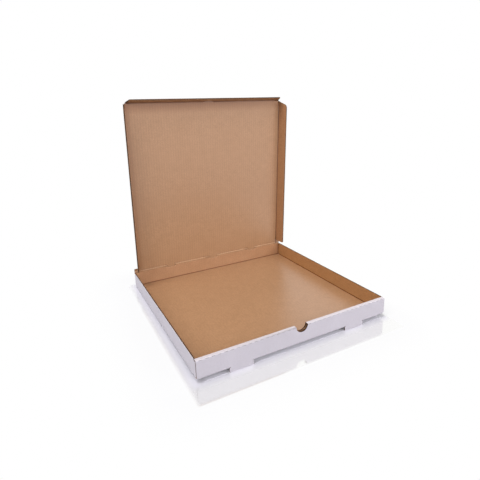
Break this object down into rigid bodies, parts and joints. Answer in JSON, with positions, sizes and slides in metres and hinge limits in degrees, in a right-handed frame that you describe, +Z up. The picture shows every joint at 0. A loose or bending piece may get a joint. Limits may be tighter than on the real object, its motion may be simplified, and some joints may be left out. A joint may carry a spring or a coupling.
{
  "type": "pizza box",
  "caption": "Shallow square corrugated pizza box with an open hinged lid, three tuck flaps, a double front wall with thumb notch, and small front feet.",
  "frame": {"origin": "on the surface under the box, in the middle of its footprint", "axes": "+X to the right, +Y to the back where the lid is hinged, +Z up"},
  "size_m": [0.4502, 0.4578, 0.485],
  "materials": {
    "corrugated_board": "uncoated brown kraft liner inside, white coated liner outside"
  },
  "bodies": {
    "tray": {"tray": "corrugated_board"},
    "lid": {"lid": "corrugated_board"},
    "front_flap": {"lid_front_flap": "corrugated_board"},
    "left_flap": {"lid_left_flap": "corrugated_board"},
    "right_flap": {"lid_right_flap": "corrugated_board"}
  },
  "joints": [
    {"name": "lid_hinge", "type": "hinge", "parent": "tray", "child": "lid", "pos_m": [0, 0.22732, 0.04136], "axis": [1, 0, 0], "range_deg": [-94, 86]},
    {"name": "front_flap_fold", "type": "hinge", "parent": "lid", "child": "front_flap", "pos_m": [0, 0.20528, 0.47732], "axis": [1, 0, 0], "range_deg": [-72, 18]},
    {"name": "left_flap_fold", "type": "hinge", "parent": "lid", "child": "left_flap", "pos_m": [-0.21427, 0.2163, 0.25934], "axis": [0, -0.0505, 0.9987], "range_deg": [-78, 12]},
    {"name": "right_flap_fold", "type": "hinge", "parent": "lid", "child": "right_flap", "pos_m": [0.21427, 0.2163, 0.25934], "axis": [0, 0.0505, -0.9987], "range_deg": [-78, 12]}
  ]
}
